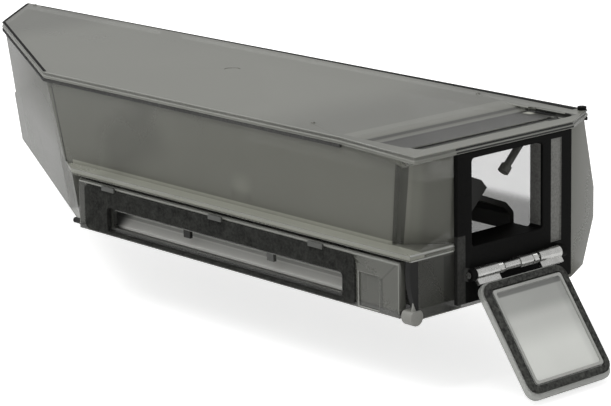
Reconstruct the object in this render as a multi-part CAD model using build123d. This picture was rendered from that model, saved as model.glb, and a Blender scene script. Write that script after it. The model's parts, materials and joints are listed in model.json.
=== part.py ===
from build123d import *
import os
from math import atan2, cos, degrees, hypot, radians, sin

# Dust bin of a robot vacuum cleaner, in millimetres and degrees.
# X runs from the slanted left end to the door end, Y from the inlet to the back, Z up.
# The origin is on the flat underside, midway along the length and the rim's depth.

# Body outline, seen from above
overall_length = 254.0
rim_depth = 70.0
body_height = 42.0
short_side_run = 23.5
short_side_depth = 27.0
slant_run = 76.0
slant_depth = 40.0
flare_run = 30.0
back_cut_run = 7.0
back_cut_depth = 13.0

# How far a cutter runs past the face it cuts
past = 1.0

# Body walls
wall = 2.0
floor_thickness = 2.0
cover_thickness = 2.0
rim_overhang = 0.8
left_lean = 8.6
short_side_lean = 2.2
short_side_step = 1.5
corner_cut_run = 9.0
corner_cut_depth = 11.5
corner_lean = 5.0
corner_radius = 2.5
web_inset = 2.0
web_foot = 1.0
web_drop = 3.2
bulge = 10.0
bulge_top = 19.0
bulge_bottom = 10.0
end_heading = 22.0
end_lean = 2.5

# Parting ledge and the recess for the inlet panel
ledge_top = 17.0
ledge_thickness = 1.6
ledge_reach = 3.8
ledge_lip = 0.4
recess_left = -10.5
cheek_thickness = 1.6
cheek_bow = 1.3
cheek_bow_z = 5.5

# Top cover
recess_start = 28.0
recess_bevel = 7.0
recess_width = 20.5
recess_front_gap = 5.5
recess_back_gap = 8.5
recess_depth = 1.2
recess_radius = 3.0
rib_offset = 8.5
rib_width = 1.2
rib_height = 0.7
channel_depth = 0.9
channel_front_gap = 14.0
channel_back_gap = 12.0
pan_thickness = 1.2
skirt_depth = 2.0
skirt_thickness = 1.2
skirt_gap = 0.15
stay_radius = 1.0
stay_reach = 8.6
stay_setback = 9.0
stay_y = 15.2
stay_ring_radius = 1.5
gate_x = 9.6
gate_y = 7.2
gate_radius = 2.4
gate_shift = 0.9
gate_depth = 0.2
bump_radius = 0.6
bump_rise = 0.3
bump_places = ((80.1, -25.6), (85.4, 29.5), (-121.0, 33.6))

# Seals between cover, housing and panel
seal_height = 0.8
seal_gap = 0.05
panel_seal_height = 0.5
panel_seal_depth = 2.4
edge_strip_left = 58.0
edge_strip_right = 117.0
edge_strip_inset = 0.5
edge_strip_thin = 0.5
edge_strip_wide = 2.2
edge_strip_depth = 0.6

# Inlet panel, its slot and its felt
panel_thickness = 2.4
panel_gap = 0.4
panel_left = -8.2
panel_right = 121.5
panel_bottom = 0.2
panel_top = 14.5
mouth_left = -4.0
mouth_right = 117.0
mouth_bottom = 2.6
mouth_top = 13.4
felt_left = -5.0
felt_right = 106.0
felt_bottom = 0.8
felt_top = 13.6
felt_thickness = 1.4
felt_proud = 0.5
felt_radius = 2.0
slot_left = 6.0
slot_right = 100.5
slot_bottom = 2.5
slot_top = 7.5
slot_margin = 1.0
slot_radius = 1.2
relief_right = 114.3
relief_top = 9.6
relief_depth = 0.5
clip_positions = (6.4, 52.4, 92.0)
clip_width = 5.4
clip_drop = 0.4
clip_proud = 0.6
hook_positions = (37.6, 71.8)
hook_width = 2.6
hook_drop = 2.2
hook_thickness = 1.0
panel_chamfer = 0.5
pivot_z = 1.6
pivot_radius = 0.8
pivot_engagement = 1.2
pivot_clearance = 0.05
boss_radius = 1.2
boss_length = 0.3
lug_gap = 0.6
lug_radius = 1.4
fin_width = 1.1
fin_depth = 1.4
fin_top = 6.6

# Guides behind the inlet
guide_thickness = 1.4
guide_right = 116.0
guide_crest_y = -1.0
guide_crest_z = 24.0
guide_back_y = 10.6
guide_end_z = 13.5
guide_shoulder_z = 20.5
guide_shoulder = 2.6
guide_crest_run = 8.0
guide_crest_drop = 1.6
guide_bend = 1.5
ramp_back_y = -14.0
ramp_back_z = 7.5
ramp_run = 4.0
ramp_rise = 1.2
ramp_crest = 2.0
cheek_rise = 7.0
cheek_flat = 6.0
cheek_nose = 2.0
cheek_nose_drop = 4.3
cheek_foot_drop = 4.0

# Door end
frame_thickness = 1.4
frame_top_gap = 0.1
frame_front_y = -20.3
frame_back_y = 21.3
frame_bottom = 1.5
window_front_y = -15.3
window_back_y = 10.4
window_bottom = 15.8
window_top = 38.4
window_radius = 1.0
collar_thickness = 0.8
collar_gap = 0.1
collar_depth = 3.0
sill_depth = 8.6
strip_front_y = 13.6
strip_back_y = 17.4
strip_bottom = 11.5
strip_depth = 0.5

# Door, drawn shut and then turned open about the hinge
door_front_y = -17.6
door_back_y = 13.6
door_thickness = 2.0
door_seat_gap = 0.15
gasket_thickness = 1.3
gasket_width = 2.6
gasket_margin = 0.5
gasket_tip_margin = 2.6
door_heel = 3.0
door_length = 32.4
door_radius = 3.0
pane_thickness = 0.9
pane_gap = 0.4
pane_lip_width = 0.8
pane_lip_height = 0.35
door_open_angle = 144.0

# Hinge
hinge_z = 9.3
hinge_gap = 0.25
sleeve_radius = 1.6
pin_radius = 0.8
pin_clearance = 0.05
sleeve_length = 7.9
sleeve_front_y = -16.5
sleeve_back_y = 6.3
knuckle_front_y = -0.6
knuckle_length = 4.3
knuckle_radius = 1.45
ear_radius = 1.6
spacer_radius = 1.1
web_thickness = 0.9
ear_width = 1.6
ear_gap = 0.25
spring_wire = 0.5
spring_coils = 4
spring_pitch = 0.55
spring_gap = 0.15
leg_radius = 0.22
door_leg = 3.2
frame_leg = 2.4

# Outlet filter in the back wall
filter_x = -58.0
filter_width = 84.0
filter_height = 17.0
filter_z = 29.0
filter_border = 2.4
filter_flange = 1.4
filter_clearance = 0.15
filter_seal_thickness = 0.6
filter_depth = 5.0
filter_wall = 1.2
pleat_pitch = 3.0
pleat_thickness = 0.6
tab_width = 9.0
tab_reach = 3.0
tab_thickness = 1.0

# Corner pin
corner_pin_radius = 1.2
corner_pin_rise = 0.9
corner_pin_shank = 0.8
corner_pin_inset_x = 0.6
corner_pin_inset_y = 1.6

# Places that follow from the sizes
right_x = overall_length / 2
back_y = rim_depth / 2
front_y = -back_y
wall_front_y = back_y - short_side_depth - slant_depth
seat_z = body_height - cover_thickness
ledge_bottom = ledge_top - ledge_thickness
wall_right_x = right_x - frame_thickness
frame_face_x = wall_right_x + frame_thickness
frame_top = seat_z - frame_top_gap
back_lean = degrees(atan2(bulge, seat_z - bulge_top))

rim_back_left = (-right_x, back_y)
rim_left = (-right_x + short_side_run, back_y - short_side_depth)
rim_front_left = (rim_left[0] + slant_run, wall_front_y)
rim_flare = (right_x - flare_run, wall_front_y)
rim_front_right = (right_x, front_y)
rim_back_end = (right_x, back_y - back_cut_depth)
rim_back_right = (right_x - back_cut_run, back_y)
rim = [rim_back_left, rim_left, rim_front_left, rim_flare, rim_front_right, rim_back_end, rim_back_right]


def block(x0, x1, y0, y1, z0, z1):
    """A box between two opposite corners."""
    size = (x1 - x0, y1 - y0, z1 - z0)
    return Pos((x0 + x1) / 2, (y0 + y1) / 2, (z0 + z1) / 2) * Box(*size)


def plate(points, z0, z1):
    """A flat plate with the outline given, from z0 up to z1."""
    return extrude(Pos(0, 0, z0) * make_face(Polyline(*points, close=True)), z1 - z0)


def across(profile, x0, x1):
    """A bar along X whose section is a face drawn in Y and Z."""
    return extrude(Plane(origin=(x0, 0, 0), x_dir=(0, 1, 0), z_dir=(1, 0, 0)) * profile, x1 - x0)


def rounded_bar(x0, x1, y0, y1, z0, z1, radius):
    """A box with its four edges along Y rounded."""
    face = RectangleRounded(x1 - x0, z1 - z0, radius)
    plane = Plane(origin=((x0 + x1) / 2, y1, (z0 + z1) / 2), x_dir=(1, 0, 0), z_dir=(0, -1, 0))
    return extrude(plane * face, y1 - y0)


def rounded_slab(x0, x1, y0, y1, z0, z1, radius):
    """A box with its four edges along X rounded."""
    face = RectangleRounded(y1 - y0, z1 - z0, radius)
    plane = Plane(origin=(x0, (y0 + y1) / 2, (z0 + z1) / 2), x_dir=(0, 1, 0), z_dir=(1, 0, 0))
    return extrude(plane * face, x1 - x0)


def rod(x, z, y0, y1, radius):
    """A round bar along Y."""
    plane = Plane(origin=(x, y0, z), x_dir=(1, 0, 0), z_dir=(0, 1, 0))
    return extrude(plane * Circle(radius), y1 - y0)


def tube(x, z, y0, y1, outer, inner):
    """A round tube along Y."""
    return rod(x, z, y0, y1, outer) - rod(x, z, y0 - past, y1 + past, inner)


def within(solid, point, heading, lean, inset):
    """What lies inside a wall plane, moved inwards by inset."""
    normal = Vector(
        cos(radians(heading)) * cos(radians(lean)),
        sin(radians(heading)) * cos(radians(lean)),
        sin(radians(lean)),
    )
    plane = Plane(origin=Vector(*point) - normal * inset, z_dir=normal)
    return split(solid, bisect_by=plane, keep=Keep.BOTTOM)


def heading_of(start, end):
    """The outward direction of the wall from start to end, with the inside on its left."""
    return degrees(atan2(end[1] - start[1], end[0] - start[0])) - 90.0


def hull(inset, bottom, top, upper):
    """The space inside the body's walls between two heights, with every wall moved inwards."""
    solid = block(-right_x - 9, right_x + 9, front_y - 9, back_y + 19, bottom, top)
    edge = rim_overhang + inset
    short_step = 0.0 if upper else short_side_step
    solid = within(
        solid, (*rim_left, seat_z), heading_of(rim_back_left, rim_left), -short_side_lean,
        edge - short_step,
    )
    solid = within(solid, (*rim_left, seat_z), heading_of(rim_left, rim_front_left), -left_lean, edge)
    solid = within(solid, (0, wall_front_y, 0), -90.0, 0.0, edge)
    solid = within(solid, (wall_right_x, 0, 0), 0.0, 0.0, inset)
    solid = within(
        solid, (*rim_back_end, seat_z), heading_of(rim_back_end, rim_back_right), 0.0, edge
    )
    solid = within(
        solid, (*rim_back_right, seat_z), end_heading, end_lean, edge
    )
    solid = within(solid, (0, back_y, seat_z), 90.0, back_lean, edge)
    solid = within(solid, (0, back_y + bulge, bulge_top), 90.0, 0.0, edge)
    solid = within(
        solid, (0, back_y + bulge, bulge_bottom), 90.0, -degrees(atan2(bulge, bulge_bottom)), edge
    )
    if upper:
        corner = (wall_right_x, wall_front_y + corner_cut_depth, seat_z)
        heading = degrees(atan2(-corner_cut_run, corner_cut_depth))
        solid = within(solid, corner, heading, -corner_lean, inset)
        front = solid.faces().sort_by(Axis.Y)[0]
        solid = fillet(front.edges().sort_by(Axis.X)[-1], corner_radius)
    return solid


def polyhedron(points, faces):
    """A solid with flat faces, each given by the numbers of its corners."""
    return Solid(Shell([Face(Wire.make_polygon([points[i] for i in face])) for face in faces]))


def corner_web():
    """The sloping web that carries the flared corner of the rim down to the wall's corner."""
    wall_y = wall_front_y + rim_overhang
    points = [
        (rim_flare[0] + web_inset, wall_y, seat_z),
        (wall_right_x, front_y + rim_overhang, seat_z),
        (wall_right_x, frame_front_y, seat_z),
        (rim_flare[0] + web_inset, wall_y + wall, seat_z),
        (wall_right_x - corner_cut_run + web_foot, wall_y + web_foot, seat_z - web_drop),
    ]
    return polyhedron(points, [(0, 1, 2, 3), (0, 1, 4), (1, 2, 4), (2, 3, 4), (3, 0, 4)])


def back_slope(inset):
    """The plane of the upper back wall, at the middle of the filter, moved inwards by inset."""
    lean = radians(back_lean)
    normal = Vector(0, cos(lean), sin(lean))
    on_wall = Vector(filter_x, back_y, seat_z) - normal * (rim_overhang + inset)
    middle = Vector(filter_x, back_y, filter_z)
    origin = middle - normal * (middle - on_wall).dot(normal)
    return Plane(origin=origin, x_dir=(-1, 0, 0), z_dir=normal)


def filter_block(width, height, low, high):
    """A block on the back wall: low and high are distances out from the wall's surface."""
    return extrude(back_slope(-low) * Rectangle(width, height), high - low)


def pivot_hole(x0, x1):
    """The bearing hole for one of the panel's pivot pins."""
    return across(Pos(pivot_y, pivot_z) * Circle(pivot_radius + pivot_clearance), x0, x1)


def right_cheek():
    """The rounded ear of the end wall that stands beside the panel."""
    reach = wall_front_y - ledge_reach
    back = wall_front_y + wall
    line = Polyline((wall_front_y, 0), (back, 0), (back, ledge_bottom), (reach + ledge_lip, ledge_bottom))
    curve = ThreePointArc(
        (reach + ledge_lip, ledge_bottom), (reach + cheek_bow, cheek_bow_z), (wall_front_y, 0)
    )
    return across(make_face(line + curve), wall_right_x - cheek_thickness, wall_right_x)


def housing():
    """The smoked hopper: drafted walls, bulged back, parting ledge, panel recess and openings."""
    body = hull(0.0, ledge_top, seat_z, True) + hull(0.0, 0.0, ledge_top, False)
    body += corner_web()
    ledge_front = wall_front_y - ledge_reach
    left_point = (*rim_left, seat_z)
    left_heading = heading_of(rim_left, rim_front_left)
    ledge = block(
        rim_front_left[0], wall_right_x + ledge_lip, ledge_front, wall_front_y + wall,
        ledge_bottom, ledge_top,
    )
    ledge += block(
        wall_right_x - corner_cut_run - wall, wall_right_x + ledge_lip,
        ledge_front, frame_front_y - seal_gap, ledge_bottom, ledge_top,
    )
    cheek = block(rim_front_left[0], recess_left, ledge_front, wall_front_y + wall, 0.0, ledge_bottom)
    body += within(ledge + cheek, left_point, left_heading, -left_lean, rim_overhang)
    body += right_cheek()
    body -= hull(wall, ledge_top - wall, seat_z + wall, True)
    body -= hull(wall, floor_thickness, ledge_top, False)
    body -= block(
        mouth_left, mouth_right, ledge_front, wall_front_y + 2 * wall, mouth_bottom, mouth_top
    )
    body -= block(
        wall_right_x - sill_depth - wall, wall_right_x + wall,
        window_front_y - collar_thickness - collar_gap, window_back_y + collar_thickness + collar_gap,
        window_bottom - collar_thickness - collar_gap, seat_z + wall,
    )
    hole = filter_width - 2 * filter_border
    rise = filter_height - 2 * filter_border
    body -= filter_block(hole, rise, -2 * wall, 2 * wall)
    return body - pivot_hole(*pivot_holes[0])


def top_cover():
    """The cover plate with its skirt, the stepped recess by the door end and the inner stay."""
    x0 = right_x - recess_start
    x1 = x0 + recess_width
    y0, y1 = front_y + recess_front_gap, back_y - recess_back_gap
    floor = body_height - recess_depth
    cover = plate(rim, seat_z, body_height)
    skirt = hull(wall + skirt_gap, seat_z - skirt_depth, seat_z, True)
    skirt -= hull(wall + skirt_gap + skirt_thickness, seat_z - 2 * skirt_depth, seat_z, True)
    skirt -= block(
        wall_right_x - sill_depth - wall, right_x,
        window_front_y - 2 * wall, window_back_y + 2 * wall, seat_z - 2 * skirt_depth, seat_z,
    )
    cover += skirt
    section = make_face(
        Polyline(
            (x0, body_height), (x0 + recess_bevel, floor), (x1, floor), (x1, body_height), close=True
        )
    )
    pocket = extrude(Plane(origin=(0, y1, 0), x_dir=(1, 0, 0), z_dir=(0, -1, 0)) * section, y1 - y0)
    pocket = fillet(pocket.edges().filter_by(Axis.Z).group_by(Axis.X)[-1], recess_radius)
    rib_x = x0 + recess_bevel + rib_offset
    rib = block(rib_x, rib_x + rib_width, y0, y1, floor, floor + rib_height)
    c0, c1 = front_y + channel_front_gap, back_y - channel_back_gap
    pan = block(
        rib_x, x1, c0 - pan_thickness, c1 + pan_thickness,
        floor - channel_depth - pan_thickness, seat_z,
    )
    channel = block(rib_x + 2 * rib_width, x1 - rib_width, c0, c1, floor - channel_depth, body_height)
    cover = cover + pan - pocket - channel + rib
    pin_at = Pos(*corner_pin_at, seat_z)
    cover -= pin_at * Cylinder(corner_pin_shank + seal_gap, 4 * cover_thickness)
    cover -= edge_strip(seal_gap)
    at_gate = Pos(gate_x, gate_y, body_height)
    shifted = Pos(gate_x + gate_shift, gate_y - gate_shift, body_height)
    gate = at_gate * Cylinder(gate_radius, 2 * gate_depth)
    cover -= gate - shifted * Cylinder(gate_radius, 4 * gate_depth)
    for x, y in bump_places:
        cover += Pos(x, y, body_height) * Cylinder(bump_radius, 2 * bump_rise)
    return cover + stay(seat_z)


def edge_strip(gap):
    """The tapered black strip let into the back edge of the cover, or its groove with a gap."""
    y1 = back_y - edge_strip_inset + gap
    outline = [
        (edge_strip_left - gap, y1), (edge_strip_left - gap, y1 - edge_strip_thin - 2 * gap),
        (edge_strip_right + gap, y1 - edge_strip_wide - 2 * gap), (edge_strip_right + gap, y1),
    ]
    return plate(outline, body_height - edge_strip_depth, body_height)


def stay(ceiling):
    """A round stay under the cover that slants forwards and down to a small ring."""
    x = right_x - stay_setback
    start = Vector(x, stay_y, ceiling)
    end = Vector(x, stay_y - stay_reach, ceiling - stay_reach)
    slope = (end - start).normalized()
    bar = extrude(Plane(origin=start, z_dir=slope) * Circle(stay_radius), (end - start).length)
    tip = extrude(Plane(origin=end, z_dir=slope) * Circle(stay_ring_radius), 2 * stay_radius)
    bar = split(bar + tip, bisect_by=Plane(origin=start, z_dir=(0, 0, 1)), keep=Keep.BOTTOM)
    return bar


def cover_seal():
    """The black cord seal in the corner between the cover's overhang and the walls."""
    ring = plate(rim, seat_z - seal_height, seat_z) - hull(-seal_gap, 0.0, body_height, True)
    ring -= block(rim_flare[0], right_x + past, front_y - past, back_y - past, 0.0, body_height)
    return ring


def panel_seal():
    """The black strip under the ledge that the top of the panel closes against."""
    y1 = wall_front_y - panel_gap
    return block(
        panel_left, panel_right, y1 - panel_seal_depth, y1, ledge_bottom - panel_seal_height, ledge_bottom
    )


def inlet_panel():
    """The front panel with its slot, felt seat, relief and pivot bosses."""
    panel = block(panel_left, panel_right, panel_front_y, panel_back_y, panel_bottom, panel_top)
    seat_y = panel_front_y + felt_thickness - felt_proud
    panel -= rounded_bar(
        felt_left, felt_right, panel_front_y - past, seat_y, felt_bottom, felt_top, felt_radius
    )
    panel -= rounded_bar(
        slot_left, slot_right, panel_front_y - past, panel_back_y + past, slot_bottom, slot_top, slot_radius
    )
    panel -= block(
        felt_right + slot_margin, relief_right, panel_front_y - past, panel_front_y + relief_depth,
        felt_bottom, relief_top,
    )
    for end, x0 in ((-1, panel_left), (1, panel_right)):
        boss = sorted((x0, x0 + end * boss_length))
        panel += across(Pos(pivot_y, pivot_z) * Circle(boss_radius), *boss)
        hole = sorted((x0 + end * 2 * boss_length, x0 - end * pivot_engagement))
        panel -= across(Pos(pivot_y, pivot_z) * Circle(pivot_radius), *hole)
    top_edges = panel.edges().filter_by(Axis.X).group_by(Axis.Z)[-1]
    return chamfer(top_edges.sort_by(Axis.Y)[0], panel_chamfer)


def pivot_pin(end):
    """A pivot pin between one end of the panel and the cheek beside it."""
    start = panel_left if end < 0 else panel_right
    hole = pivot_holes[0] if end < 0 else pivot_holes[1]
    far = hole[0] + pivot_clearance if end < 0 else hole[1] - pivot_clearance
    near = start - end * pivot_engagement
    return across(Pos(pivot_y, pivot_z) * Circle(pivot_radius), *sorted((near, far)))


def pivot_lug():
    """The pale lug at the foot of the right cheek that carries the panel's pivot, with its fin."""
    outer = wall_front_y + rim_overhang
    x0, x1 = pivot_holes[1][0], wall_right_x
    lug = across(Pos(pivot_y, pivot_z) * Circle(lug_radius), x0, x1)
    lug += block(x0, x1, pivot_y, outer, pivot_z - lug_radius, pivot_z + lug_radius)
    lug += block(x0, x0 + fin_width, outer - fin_depth, outer, pivot_z, fin_top)
    return lug - right_cheek() - pivot_hole(x0 - past, pivot_holes[1][1])


def felt():
    """The felt frame let into the panel round the slot."""
    seat_y = panel_front_y + felt_thickness - felt_proud
    front = panel_front_y - felt_proud
    frame = rounded_bar(felt_left, felt_right, front, seat_y, felt_bottom, felt_top, felt_radius)
    return frame - rounded_bar(
        slot_left - slot_margin, slot_right + slot_margin, front - past, seat_y + past,
        slot_bottom - slot_margin, slot_top + slot_margin, slot_radius,
    )


def felt_clip(x):
    """A light hooked clip on the panel's upper edge that holds the felt."""
    back = panel_front_y - felt_proud
    return block(
        x - clip_width / 2, x + clip_width / 2, back - clip_proud, back, felt_top - clip_drop, panel_top
    )


def slot_hook(x):
    """A small hook that hangs from the slot's upper edge."""
    return block(
        x - hook_width / 2, x + hook_width / 2, panel_front_y + felt_thickness,
        panel_front_y + felt_thickness + hook_thickness, slot_top - hook_drop, slot_top,
    )


def chamber():
    """The space inside the housing's walls."""
    return hull(wall, ledge_top, seat_z, True) + hull(wall, floor_thickness, ledge_top, False)


def inlet_hood():
    """The curved hood over the passage behind the inlet."""
    line = FilletPolyline(
        (wall_front_y + rim_overhang + wall, mouth_top + guide_thickness),
        (guide_crest_y - guide_crest_run, guide_crest_z - guide_crest_drop),
        (guide_crest_y, guide_crest_z),
        (guide_back_y - guide_shoulder, guide_shoulder_z),
        (guide_back_y, guide_shoulder_z - guide_shoulder),
        (guide_back_y, guide_end_z),
        radius=guide_bend,
    )
    return across(trace(line, guide_thickness), mouth_left, guide_right) & chamber()


def hood_cheek():
    """The upright end plate of the passage, next to the window."""
    start_y = wall_front_y + rim_overhang + wall
    top = guide_crest_z + cheek_rise
    outline = Polyline(
        (start_y, mouth_top), (start_y, top), (guide_crest_y - cheek_flat, top),
        (guide_crest_y - cheek_nose / 2, top - cheek_nose),
        (guide_crest_y + cheek_nose / 2, top - cheek_nose_drop),
        (guide_crest_y - cheek_flat, guide_crest_z - cheek_foot_drop),
        close=True,
    )
    return across(make_face(outline), guide_right, guide_right + guide_thickness) & chamber()


def sill_ramp():
    """The stepped ramp from the inlet's lower edge into the chamber."""
    start_y = wall_front_y + rim_overhang + wall
    outline = Polyline(
        (start_y, floor_thickness),
        (start_y, mouth_bottom),
        (start_y + ramp_run, mouth_bottom + ramp_rise / 2),
        (start_y + ramp_run, mouth_bottom + 3 * ramp_rise / 2),
        (start_y + 2 * ramp_run, mouth_bottom + 2 * ramp_rise),
        (ramp_back_y, ramp_back_z),
        (ramp_back_y + ramp_crest, ramp_back_z),
        (ramp_back_y + ramp_crest, floor_thickness),
        close=True,
    )
    return across(make_face(outline), mouth_left, guide_right) & chamber()


def end_frame():
    """The black frame on the door end: window with collar and sill, side slot and hinge ears."""
    frame = block(
        wall_right_x, frame_face_x, frame_front_y, frame_back_y, frame_bottom, frame_top
    )
    collar = rounded_slab(
        wall_right_x - collar_depth, wall_right_x,
        window_front_y - collar_thickness, window_back_y + collar_thickness,
        window_bottom - collar_thickness, window_top + collar_thickness, window_radius + collar_thickness,
    )
    sill = block(
        wall_right_x - sill_depth, wall_right_x, window_front_y + window_radius,
        window_back_y - window_radius, window_bottom - collar_thickness, window_bottom,
    )
    frame += collar + sill
    frame -= rounded_slab(
        wall_right_x - sill_depth - past, frame_face_x + past, window_front_y, window_back_y,
        window_bottom, window_top, window_radius,
    )
    frame -= block(
        frame_face_x - strip_depth, frame_face_x + past, strip_front_y, strip_back_y,
        strip_bottom, window_top,
    )
    for y0, y1 in ears:
        frame += block(wall_right_x, hinge_x, y0, y1, hinge_z - ear_radius, hinge_z + ear_radius)
        frame += rod(hinge_x, hinge_z, y0, y1, ear_radius)
    return frame - rod(
        hinge_x, hinge_z, ears[0][0] - past, ears[1][1] + past, pin_radius + pin_clearance
    )


def swung(solid):
    """A piece of the door, drawn shut, turned open about the hinge."""
    return solid.rotate(Axis((hinge_x, 0, hinge_z), (0, 1, 0)), door_open_angle)


def door_slab(x0, x1, heel, tip, margin, radius):
    """A rounded slab in the plane of the shut door."""
    return rounded_slab(
        x0, x1, door_front_y + margin, door_back_y - margin, hinge_z + heel, hinge_z + tip, radius
    )


def door_plate():
    """The clear door plate."""
    return door_slab(
        door_inner_x, door_inner_x + door_thickness, door_heel, door_heel + door_length, 0.0, door_radius
    )


def door_gasket():
    """The black rubber ring on the door's inner face."""
    x0 = frame_face_x + door_seat_gap
    heel = door_heel + gasket_margin
    tip = door_heel + door_length - gasket_tip_margin
    ring = door_slab(x0, door_inner_x, heel, tip, gasket_margin, door_radius)
    return ring - door_slab(
        x0 - past, door_inner_x + past, heel + gasket_width, tip - gasket_width,
        gasket_margin + gasket_width, door_radius / 2,
    )


def door_pane():
    """The raised pane inside the gasket, with a lip round its edge."""
    border = gasket_width + pane_gap
    heel = door_heel + gasket_margin + border
    tip = door_heel + door_length - gasket_tip_margin - border
    margin = gasket_margin + border
    face = door_inner_x - pane_thickness
    pane = door_slab(face, door_inner_x, heel, tip, margin, door_radius / 2)
    lip = door_slab(face - pane_lip_height, face, heel, tip, margin, door_radius / 2)
    lip -= door_slab(
        face - past, face + past, heel + pane_lip_width, tip - pane_lip_width, margin + pane_lip_width,
        door_radius / 4,
    )
    return pane + lip


def hinge_sleeve(y0):
    """A rolled sleeve on the hinge pin with the short web that meets the door's heel."""
    y1 = y0 + sleeve_length
    sleeve = rod(hinge_x, hinge_z, y0, y1, sleeve_radius)
    sleeve += block(
        door_inner_x + seal_gap, door_inner_x + seal_gap + web_thickness, y0, y1, hinge_z,
        hinge_z + door_heel,
    )
    return sleeve - rod(hinge_x, hinge_z, y0 - past, y1 + past, pin_radius + pin_clearance)


def hinge_knuckle():
    """The fixed knuckle between the springs, with its foot on the frame."""
    y0, y1 = knuckle_front_y, knuckle_front_y + knuckle_length
    knuckle = rod(hinge_x, hinge_z, y0, y1, knuckle_radius)
    knuckle += block(frame_face_x, hinge_x, y0, y1, hinge_z - web_thickness, hinge_z + web_thickness)
    return knuckle - rod(hinge_x, hinge_z, y0 - past, y1 + past, pin_radius + pin_clearance)


def torsion_spring(y0):
    """A torsion spring on the pin: a wound coil, one leg on the frame, one on the door."""
    wire = spring_wire / 2
    inner = pin_radius + spring_gap
    middle = inner + wire
    outline = [(inner, 0), (middle, 0)]
    for turn in range(spring_coils):
        start = turn * spring_pitch
        outline += [
            (middle + wire, start + wire / 2), (middle + wire, start + 3 * wire / 2),
            (middle, start + spring_wire),
        ]
    outline.append((inner, spring_length))
    section = Plane(origin=(hinge_x, y0, hinge_z), x_dir=(1, 0, 0), z_dir=(0, 0, 1))
    section = section * make_face(Polyline(*outline, close=True))
    coil = revolve(section, Axis((hinge_x, 0, hinge_z), (0, 1, 0)))
    at_frame = Vector(hinge_x - middle, y0 + spring_length - wire, hinge_z)
    at_door = Vector(hinge_x - middle, y0 + wire, hinge_z)
    coil += extrude(Plane(origin=at_frame, z_dir=(0, 0, 1)) * Circle(leg_radius), frame_leg)
    return coil + swung(extrude(Plane(origin=at_door, z_dir=(0, 0, 1)) * Circle(leg_radius), door_leg))


def filter_frame():
    """The outlet filter's frame: a flange outside, a sleeve through the wall and a pull tab."""
    hole = filter_width - 2 * filter_border - 2 * filter_clearance
    rise = filter_height - 2 * filter_border - 2 * filter_clearance
    out = filter_seal_thickness
    frame = filter_block(filter_width, filter_height, out, out + filter_flange)
    frame += filter_block(hole, rise, -filter_depth, out)
    frame -= filter_block(
        hole - 2 * filter_wall, rise - 2 * filter_wall, -filter_depth - past, out + filter_flange + past
    )
    tab = back_slope(-out - filter_flange) * Pos(0, filter_height / 2 - tab_reach / 2) * Rectangle(
        tab_width, tab_thickness
    )
    return frame + extrude(tab, tab_reach)


def filter_seal():
    """The soft ring between the filter's flange and the wall."""
    ring = filter_block(filter_width, filter_height, 0.0, filter_seal_thickness)
    return ring - filter_block(
        filter_width - 2 * filter_border, filter_height - 2 * filter_border, -past,
        filter_seal_thickness + past,
    )


def filter_media():
    """The pleated paper in the filter frame, folded once for each pitch."""
    width = filter_width - 2 * (filter_border + filter_clearance + filter_wall)
    rise = filter_height - 2 * (filter_border + filter_clearance + filter_wall)
    folds = int(width / pleat_pitch)
    pitch = width / folds
    top = []
    for fold in range(folds):
        start = -width / 2 + fold * pitch
        top += [(start, -filter_depth + pleat_thickness), (start + pitch / 2, -pleat_thickness)]
    top.append((width / 2, -filter_depth + pleat_thickness))
    below = [(u, w - pleat_thickness) for u, w in reversed(top)]
    face = make_face(Polyline(*top, *below, close=True))
    side = back_slope(0.0)
    section = Plane(origin=side.origin + side.y_dir * (rise / 2), x_dir=side.x_dir, z_dir=-side.y_dir)
    return extrude(section * face, rise)


def corner_pin():
    """The dark pin in the cover's back-right corner."""
    head = Pos(*corner_pin_at, body_height + corner_pin_rise / 2) * Cylinder(
        corner_pin_radius, corner_pin_rise
    )
    shank = Pos(*corner_pin_at, body_height - cover_thickness / 2) * Cylinder(
        corner_pin_shank, cover_thickness
    )
    return head + shank


# Places that the pieces share
ledge_front_y = wall_front_y - ledge_reach
panel_front_y = ledge_front_y + panel_gap
panel_back_y = panel_front_y + panel_thickness
pivot_y = (panel_front_y + panel_back_y) / 2
pivot_holes = (
    (recess_left - cheek_thickness, recess_left + cheek_thickness),
    (panel_right + lug_gap, wall_right_x - cheek_thickness / 4),
)
hinge_x = frame_face_x + sleeve_radius + hinge_gap
door_inner_x = frame_face_x + door_seat_gap + gasket_thickness
ears = (
    (sleeve_front_y - ear_gap - ear_width, sleeve_front_y - ear_gap),
    (sleeve_back_y + sleeve_length + ear_gap, sleeve_back_y + sleeve_length + ear_gap + ear_width),
)
spring_front_y = sleeve_front_y + sleeve_length + spring_gap
spring_length = (spring_coils - 1) * spring_pitch + spring_wire
spring_back_y = sleeve_back_y - spring_gap - spring_length
spacer_front_y = spring_front_y + spring_length + spring_gap
corner_pin_at = (rim_back_right[0] - corner_pin_inset_x, back_y - corner_pin_inset_y)

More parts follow.
